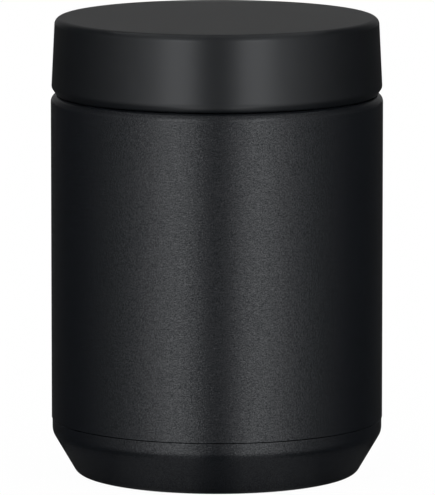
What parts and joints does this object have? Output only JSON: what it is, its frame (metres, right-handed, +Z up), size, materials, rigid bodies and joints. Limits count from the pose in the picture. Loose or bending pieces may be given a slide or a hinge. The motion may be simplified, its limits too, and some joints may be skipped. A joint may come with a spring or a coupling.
{
  "type": "insulated food jar",
  "caption": "Round double-walled steel food jar with a vacuum between its walls, a tapered foot and a flat-topped screw lid that carries a swivelling, vented stopper.",
  "frame": {"origin": "centre of the foot ring, on the surface that the jar stands on", "axes": "+Z up along the axis that the jar, the lid and the stopper share; the jar is round, and -Y is its front"},
  "size_m": [0.095, 0.095, 0.1313],
  "materials": {
    "body_paint": "matte",
    "steel": "satin",
    "foil": "gloss",
    "getter": "matte",
    "solder": "satin",
    "lid_plastic": "satin",
    "foam": "matte",
    "stopper_plastic": "satin",
    "silicone": "satin",
    "spring_steel": "polished"
  },
  "bodies": {
    "jar": {"outer_shell": "body_paint", "outer_base": "body_paint", "inner_vessel": "steel", "inner_base": "steel", "radiation_foil": "foil", "base_foil": "foil", "getter": "getter", "getter_holder": "steel", "vacuum_seal": "solder", "seal_cover": "steel"},
    "stopper": {"stopper_plate": "stopper_plastic", "stopper_cup": "stopper_plastic", "stopper_foam": "foam", "stopper_seal": "silicone", "vent_spring": "spring_steel"},
    "lid": {"lid_cover": "lid_plastic", "lid_collar": "lid_plastic", "lid_foam": "foam"},
    "vent": {"vent_valve": "stopper_plastic", "vent_seal": "silicone", "vent_cap": "stopper_plastic"}
  },
  "joints": [
    {"name": "lid_rise", "type": "slide", "parent": "jar", "child": "stopper", "axis": [0, 0, 1], "range_m": [0, 0.0451]},
    {"name": "lid_turn", "type": "hinge", "parent": "stopper", "child": "lid", "pos_m": [0, 0, 0.12], "axis": [0, 0, 1], "range_deg": [0, 1080]},
    {"name": "vent_press", "type": "slide", "parent": "stopper", "child": "vent", "axis": [0, 0, -1], "range_m": [0, 0.0015], "stiffness_N_per_m": 400, "springref_m": -0.003, "deforming": ["vent_spring"]}
  ],
  "couplings": [
    {"joint": "lid_rise", "follows": "lid_turn", "m_per_rad": 0.0023873}
  ]
}
